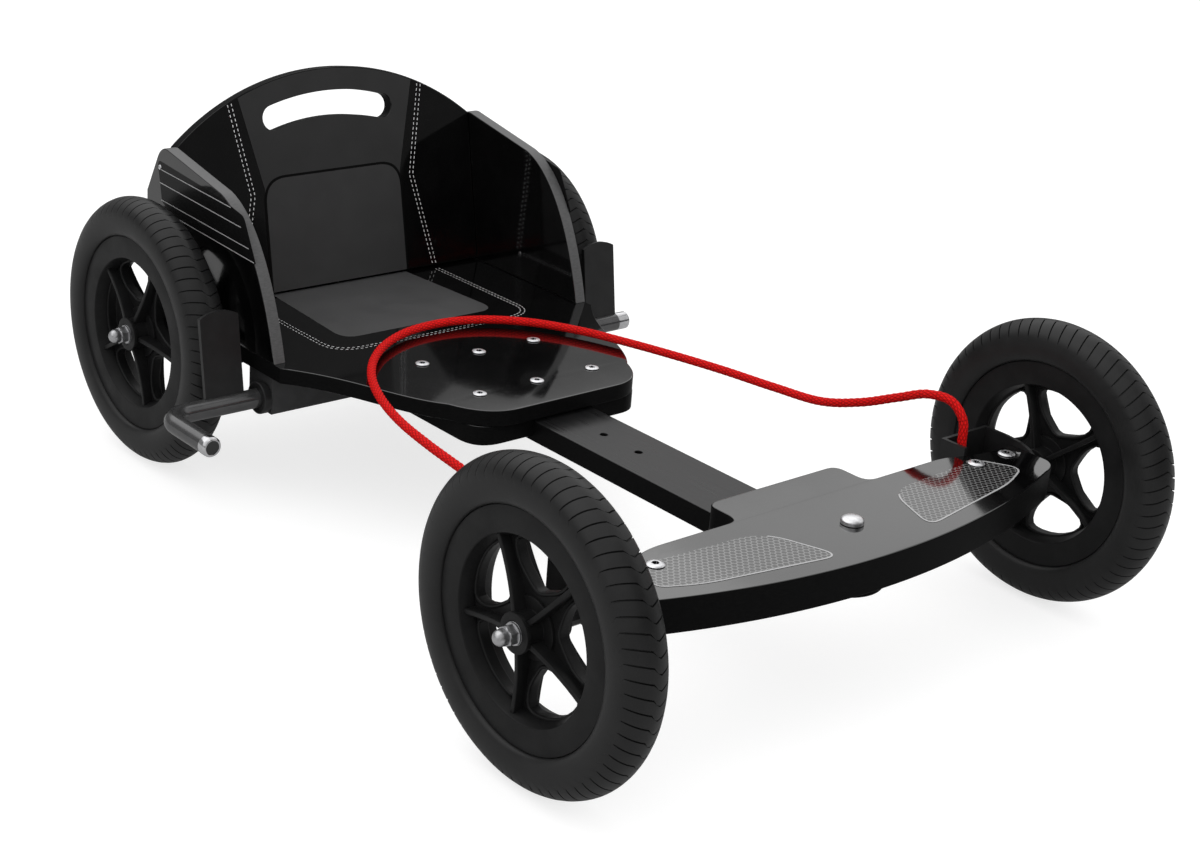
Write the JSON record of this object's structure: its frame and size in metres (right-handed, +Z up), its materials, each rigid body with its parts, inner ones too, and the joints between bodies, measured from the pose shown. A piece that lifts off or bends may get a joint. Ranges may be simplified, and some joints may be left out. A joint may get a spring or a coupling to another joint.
{
  "type": "soapbox car",
  "caption": "Child's soapbox car: board seat on a flat beam, rope-steered front deck, spoked pneumatic wheels and one hand brake on both rear wheels.",
  "frame": {"origin": "on the ground, midway between the four wheels", "axes": "-Y is the way the car drives, +X is the side on the right in the picture, +Z is up"},
  "size_m": [0.8014, 1.1195, 0.4265],
  "materials": {
    "board": "thick multi-ply boards with a mirror-gloss black film and darker satin edges",
    "beam": "black sealed laminated board, satin",
    "tyre": "matt black rubber with narrow slanted cuts across the tread",
    "rim": "black moulded, satin",
    "bush": "turned steel",
    "axle": "plain steel bolt",
    "fastener": "bright plated steel",
    "bracket": "folded and welded sheet steel, black satin powder coat",
    "brake_bar": "bent steel bar, dark satin coat",
    "rope": "bright red braided cord"
  },
  "bodies": {
    "frame": {"main_beam": "beam", "kingpin": "fastener", "kingpin_washer": "bush", "kingpin_nut": "fastener", "seat_board": "board", "lower_block": "board", "seat_bolt_1": "fastener", "seat_bolt_2": "fastener", "seat_bolt_3": "fastener", "seat_bolt_4": "fastener", "seat_bolt_5": "fastener", "seat_bolt_6": "fastener", "seat_side_right": "board", "seat_side_left": "board", "seat_back": "board", "brake_cross_member": "bracket", "brake_bush_right": "bracket", "brake_bush_left": "bracket", "rear_axle_plate_right": "bracket", "rear_axle_plate_left": "bracket", "rear_cross_member": "bracket", "rear_axle_right": "axle", "rear_axle_left": "axle", "rear_nut_right": "fastener", "rear_nut_left": "fastener"},
    "steering": {"steering_deck": "board", "deck_bolt_inner_right": "fastener", "deck_bolt_outer_right": "fastener", "deck_bolt_inner_left": "fastener", "deck_bolt_outer_left": "fastener", "front_bracket_right": "bracket", "front_bracket_left": "bracket", "front_axle_right": "axle", "front_axle_left": "axle", "front_nut_right": "fastener", "front_nut_left": "fastener", "steering_rope": "rope", "rope_knot_right": "rope", "rope_knot_left": "rope"},
    "wheel_front_left": {"front_left_tyre": "tyre", "front_left_rim": "rim", "front_left_bush": "bush"},
    "wheel_front_right": {"front_right_tyre": "tyre", "front_right_rim": "rim", "front_right_bush": "bush"},
    "wheel_rear_left": {"rear_left_tyre": "tyre", "rear_left_rim": "rim", "rear_left_bush": "bush"},
    "wheel_rear_right": {"rear_right_tyre": "tyre", "rear_right_rim": "rim", "rear_right_bush": "bush"},
    "brake": {"brake_bar": "brake_bar", "brake_cap": "fastener", "brake_end": "fastener", "brake_plate_right": "bracket", "brake_plate_left": "bracket"}
  },
  "joints": [
    {"name": "steering_pivot", "type": "hinge", "parent": "frame", "child": "steering", "pos_m": [0, -0.443, 0.146], "axis": [0, 0, 1], "range_deg": [-30, 30]},
    {"name": "front_left_spin", "type": "hinge", "parent": "steering", "child": "wheel_front_left", "pos_m": [-0.353, -0.405, 0.155], "axis": [1, 0, 0], "continuous": true},
    {"name": "front_right_spin", "type": "hinge", "parent": "steering", "child": "wheel_front_right", "pos_m": [0.353, -0.405, 0.155], "axis": [1, 0, 0], "continuous": true},
    {"name": "rear_left_spin", "type": "hinge", "parent": "frame", "child": "wheel_rear_left", "pos_m": [-0.273, 0.405, 0.155], "axis": [1, 0, 0], "continuous": true},
    {"name": "rear_right_spin", "type": "hinge", "parent": "frame", "child": "wheel_rear_right", "pos_m": [0.273, 0.405, 0.155], "axis": [1, 0, 0], "continuous": true},
    {"name": "brake_pull", "type": "hinge", "parent": "frame", "child": "brake", "pos_m": [0, 0.235, 0.122], "axis": [-1, 0, 0], "range_deg": [0, 4]}
  ]
}
